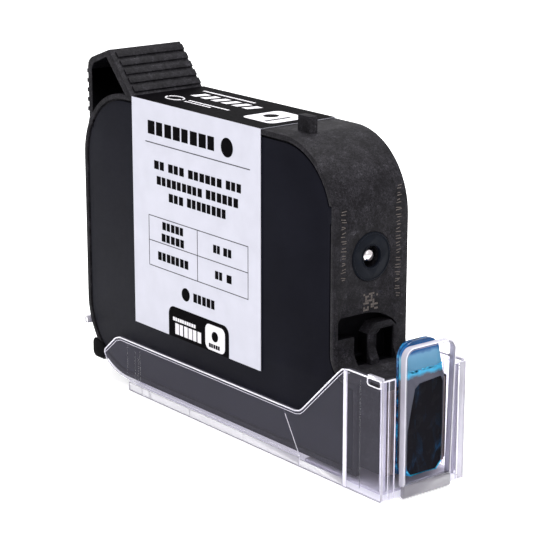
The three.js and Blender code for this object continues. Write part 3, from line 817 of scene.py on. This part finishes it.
def cap_side_path(y_arm, y_box):
    """The top edge of a side wall, from its rear point to the front corner."""
    arm = [(-11.8, -62.4), (-11.7, -61.5), (-7.2, -57.7), (-5.4, -57.1), (59.0, -57.1), (60.5, -56.7)]
    box = [(61.7, -55.9), (72.8, -45.3), (74.2, -44.1), (76.2, BOX_TOP), (86.2, BOX_TOP)]
    return [(x, y_arm, z) for x, z in arm] + [(x, y_box, z) for x, z in box]


def offset_path(path, drop):
    """The same path a little lower and further in, for the second painted highlight along a double rim."""
    return [(x + drop * 0.4, y, z - drop) for x, y, z in path]


def upright(x, y, top):
    """A straight line from a height down to the cap's foot."""
    return [(x, y, top), (x, y, LINE_FOOT)]


def strap_arc(radius, y):
    """The curve of the rear strap round the body's lower corner, seen from the side."""
    turns = [math.radians(201 + 5 * i) for i in range(14)]
    return [(-3.6 + radius * math.cos(t), y, -50.1 + radius * math.sin(t)) for t in turns]


def span(side, near, far):
    """The lower and upper Y of a band on one side, between two distances from the mid-plane."""
    return sorted((side * near, side * far))


def on_wall(shape, outline, side, near, far):
    """An outline laid on one side wall, between two distances from the mid-plane."""
    shape.prism(outline, "y", *span(side, near, far))


def cap_painted_highlights():
    """Painted highlights: bright round beads along the edges of the clear moulding, where it shows the white
    surroundings.
    """
    foot_line = [(-11.8, -62.5), (-10.6, -64.1), (-8.2, -65.5), (-5.0, -66.2), (-1.4, -66.45), (60.8, -66.6)]
    weld_line = [(56.2, -58.4), (61.0, -66.3), (61.0, BAND_FOOT)]
    slot = rounded(82.0, 86.0, -45.2, -43.65, 0.6, 3)
    rims = Shape()
    for side in (-1, 1):
        arm_y, box_y = side * (ARM_Y - 0.14), side * (BOX_Y - 0.14)
        top = cap_side_path(arm_y, box_y)
        rims.tube(top, 0.17)
        rims.tube(offset_path(top, 0.62)[1:-1], 0.07)
        rims.tube([(x, arm_y - side * 0.02, z) for x, z in foot_line], 0.12)
        rims.tube([(x, side * BOX_Y, z) for x, z in weld_line], 0.07)
        rims.tube([(x, box_y, LINE_FOOT - 0.05) for x in (-1.3, 86.2)], 0.12)
        rims.tube(upright(86.24, box_y, -43.8), 0.14)
        rims.tube(upright(86.3, side * 9.3, -43.8), 0.09)
        rims.tube(upright(86.25, side * 7.62, -43.8), 0.14)
        rims.tube([(86.2, side * 7.62, -43.75), (86.2, side * (BOX_Y - 0.2), -43.75)], 0.18)
        rims.tube([(x, side * (BOX_Y - 0.02), z) for x, z in slot], 0.14, True)
        rims.tube(strap_arc(17.4, side * 6.2), 0.13)
    rims.build("cap_painted_highlights", HIGHLIGHT_LOOK, "cap")


def cap_corner_lips():
    """The raised lips on the box's top edge, and the flats down its front corners."""
    lips = Shape()
    for side in (-1, 1):
        on_wall(lips, rect(82.0, 86.1, -43.62, -43.1), side, 10.4, 11.15)
        lips.prism(rect(*span(side, 10.7, 11.12), BAND_FOOT, BOX_TOP), "x", 86.39, 86.45)
    lips.prism(rect(9.5, 10.7, BAND_FOOT, BOX_TOP), "x", 86.39, 86.44)
    lips.build("cap_corner_lips", BORDER_LOOK, "cap", 0.02)


def cap_foot_bands():
    """The milky bands along the cap's foot with their small ribs, and the latch bar at the rear."""
    bands = Shape()
    for side in (-1, 1):
        on_wall(bands, rect(-1.3, 60.8, BAND_FOOT, -66.75), side, BOX_Y, BOX_Y + 0.04)
        on_wall(bands, rect(61.2, 74.8, BAND_FOOT, -67.2), side, BOX_Y, BOX_Y + 0.04)
        for x in (3.4, 6.2, 6.9, 22.0, 41.5):
            on_wall(bands, rect(x, x + 0.5, BAND_FOOT, -67.0), side, BOX_Y, BOX_Y + 0.09)
    bands.prism(rounded(-20.58, -19.32, -57.18, -55.42, 0.4), "y", -10.35, 10.35)
    bands.build("cap_foot_bands", BAND_LOOK, "cap", 0.02)


def cap_shade_lines():
    """The thin dark lines along the thick edges of the cap."""
    latch = rounded(-20.5, -19.4, -57.1, -55.5, 0.4)
    shade = Shape()
    for side in (-1, 1):
        y = side * (BOX_Y + 0.03)
        shade.tube([(x, y, LINE_FOOT - 0.12) for x in (-1.3, 86.3)], 0.08)
        shade.tube([(-1.2, y, LINE_FOOT), (-1.2, y, -66.9), (60.8, y, -66.9)], 0.07)
        shade.tube([(61.3, y, -67.1), (74.7, y, -67.1)], 0.06)
        shade.tube(upright(86.42, y - side * 0.1, -43.3), 0.06)
        shade.tube(upright(86.42, side * 9.0, -44.0), 0.05)
        shade.tube([(x, side * 10.37, z) for x, z in latch], 0.07, True)
        shade.tube(strap_arc(16.9, side * 6.3), 0.07)
    shade.build("cap_shade_lines", SHADE_LOOK, "cap")


def cap_flow_lines():
    """Faint upright flow lines in the rear of each arm."""
    streaks = [(0.9, -65.8, -59.0), (2.1, -66.0, -60.2), (2.9, -66.1, -58.4), (-2.2, -65.0, -58.0)]
    flow = Shape()
    for side in (-1, 1):
        for x, low, high in streaks:
            on_wall(flow, rect(x, x + 0.07, low, high), side, ARM_Y, ARM_Y + 0.03)
    flow.build("cap_flow_lines", FAINT_LOOK, "cap")


def cap_ribs():
    """The upright rib on each side of the box, and a fine one in front of it."""
    ribs = Shape()
    fine = Shape()
    for side in (-1, 1):
        on_wall(ribs, rect(74.95, 76.05, LINE_FOOT, -44.0), side, BOX_Y - 0.05, BOX_Y + 0.19)
        on_wall(fine, rect(79.9, 80.08, -67.6, -44.6), side, BOX_Y, BOX_Y + 0.04)
    # The wide rib takes the milky finish of the painted highlights.
    ribs.build("cap_ribs", HIGHLIGHT_LOOK, "cap", 0.09)
    fine.build("cap_fine_ribs", FAINT_LOOK, "cap")


def cap_painted_light():
    """The pale floor pan under the snout, whitened as painted light for the light that comes up through the
    clear floor, and the column in each front corner in the same pale finish.
    """
    pan = Shape()
    pan.prism(rounded(61.0, 85.3, -10.1, 10.1, 0.8), "z", -67.78, -67.2)
    for side in (-1, 1):
        pan.prism(rect(84.6, 85.35, *span(side, 9.0, 10.1)), "z", -67.2, -44.2)
    pan.build("cap_painted_light", PAINTED_LIGHT_LOOK, "cap", 0.12)


# ---- the flap and its pad ----
FLAP_BEND = -66.4


def flap_outline(inset, foot=FLAP_BEND):
    """The flap's outline in Y and Z: square at its foot, round at its top, its far side wider there."""
    half, top, radius, foot = 7.1 - inset, -37.6 - inset, 2.4 - inset, foot + inset
    arcs = rounded(-half, half, foot - 20, top, radius, 7)
    outline = [(y, z) for y, z in arcs if z > foot] + [(-half, foot), (half, foot)]
    near_share, far_share, flare = 0.9, 0.88, 0.0042
    return [(y * (near_share if y < 0 else far_share + flare * (z - FLAP_BEND)), z) for y, z in outline]


def flap():
    """A clear plate inside a border that carries a bright line of painted highlight and a dark line of
    painted shade, on the rounded bar of its bend.
    """
    back, front = 86.3, 87.8
    plate = Shape()
    plate.prism(flap_outline(0.32), "x", back + 0.06, front - 0.06)
    plate.build("flap_plate", FLAP_LOOK, "flap", 0.1)

    border = Shape()
    border.ring(flap_outline(0.0), flap_outline(0.3), "x", back, front)
    piece = border.build("flap_border", BORDER_LOOK, "flap", 0.12)

    # Painted highlight round the border's front, and painted shade just inside it.
    lines = Shape()
    lines.tube([(front, y, z) for y, z in flap_outline(0.1, -66.0)], 0.09, True)
    lines.build("flap_edge_highlight", HIGHLIGHT_LOOK, "flap")
    inner_lines = Shape()
    inner_lines.tube([(front, y, z) for y, z in flap_outline(0.42, -66.0)], 0.06, True)
    inner_lines.build("flap_inner_shade", SHADE_LOOK, "flap")

    foot = Shape()
    foot.prism(rounded(86.8, 88.1, -68.8, -65.95, 0.6, 5), "y", -6.4, 6.25)
    foot.build("flap_foot", FOOT_LOOK, "flap", 0.25)
    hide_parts("seal_flap")


def pad_contact():
    """The dark patch that the nozzle face leaves on the pad."""
    outline = [
        (-3.0, -65.0), (3.9, -65.0), (5.2, -63.6), (5.4, -55.3), (5.3, -46.8), (4.7, -45.6),
        (-0.9, -46.1), (-2.1, -47.0), (-2.9, -50.7), (-3.9, -55.6), (-3.9, -63.6),
    ]
    patch = Shape()
    patch.prism(outline, "x", 85.93, 86.0)
    patch.build("pad_contact", wet_patch(), "flap")


def pad_rim():
    """The pad's thick tip and sides, which reach back past the orifice plate."""
    tip = rounded(-5.8, 4.4, -52.0, -37.05, 3.2, 6)
    back = Shape()
    back.prism([(y, z) for y, z in tip if z > -46.0] + [(-5.8, -46.3), (5.3, -46.3)], "x", 84.3, 84.97)
    for y0, y1 in [(-5.8, -4.7), (4.7, 5.7)]:
        back.prism(rounded(y0, y1, -64.6, -46.4, 0.4, 3), "x", 84.35, 84.97)
    back.build("pad_rim", pad_edge(), "flap", 0.15)


def pad_bright_line():
    """The bright blue line under the dark patch, and the broken one of small spots above it."""
    line = Shape()
    foot = [(-4.0, -64.0), (-3.0, -65.15), (3.9, -65.15), (5.3, -63.7)]
    line.tube([(85.98, y, z) for y, z in foot], 0.16)
    chance = random.Random(11)
    for _ in range(46):
        y = -3.6 + 8.4 * chance.random()
        z = -43.5 + 0.05 * (y + 3.6) + 0.4 * (chance.random() - 0.5)
        size = 0.16 + 0.16 * chance.random()
        line.prism(oval(y, z, size, size * 0.7, 7), "x", 85.94, 86.02)
    cyan = plain("pad_cyan", (0.005, 0.26, 0.52), (0.06, 0.72, 0.95), 0.1, 0.2, 900)
    line.build("pad_bright_line", cyan, "flap")


label_front()
label_top()
end_marks()
recess_details()
handle_details()
catch_lumps()
port_details()
contact_pads()
nozzle_rows()
supply_spring()
cap_painted_highlights()
cap_corner_lips()
cap_foot_bands()
cap_shade_lines()
cap_flow_lines()
cap_ribs()
cap_painted_light()
flap()
pad_contact()
pad_rim()
pad_bright_line()


# ---- floor and light ----
def make_floor():
    mesh = bpy.data.meshes.new("floor")
    half, z = 3.0, cad_lo.z - 0.2 * MM
    corners = [(-half, -half, z), (half, -half, z), (half, half, z), (-half, half, z)]
    mesh.from_pydata(corners, [], [(0, 1, 2, 3)])
    floor = bpy.data.objects.new("floor", mesh)
    bpy.context.scene.collection.objects.link(floor)
    glow = plain("floor_white", (0.78, 0.78, 0.79), (0.80, 0.80, 0.80), 0.6, 0.8, 30, 0.2)
    shader = glow.node_tree.nodes["Principled BSDF"]
    shader.inputs["Emission Color"].default_value = (1.0, 1.0, 1.0, 1.0)
    shader.inputs["Emission Strength"].default_value = 0.6
    mesh.materials.append(glow)


def area_light(name, place, target, size, power):
    data = bpy.data.lights.new(name, "AREA")
    data.shape, data.size, data.energy = "SQUARE", size, power
    light = bpy.data.objects.new(name, data)
    light.location = place
    light.rotation_mode = "QUATERNION"
    light.rotation_quaternion = (Vector(target) - Vector(place)).to_track_quat("-Z", "Y")
    bpy.context.scene.collection.objects.link(light)


def make_world():
    world = bpy.data.worlds.new("studio")
    world.use_nodes = True
    world.node_tree.nodes["Background"].inputs["Color"].default_value = (1, 1, 1, 1)
    world.node_tree.nodes["Background"].inputs["Strength"].default_value = 0.95
    bpy.context.scene.world = world


make_floor()
make_world()
middle = (0.0, 0.0, 0.04)
area_light("key", (-0.25, -0.45, 0.50), middle, 0.35, 0.2)
area_light("end_fill", (0.55, -0.05, 0.35), middle, 0.30, 0.3)
area_light("top", (0.05, 0.10, 0.60), middle, 0.40, 4.6)
bpy.context.scene.view_settings.view_transform = "Standard"
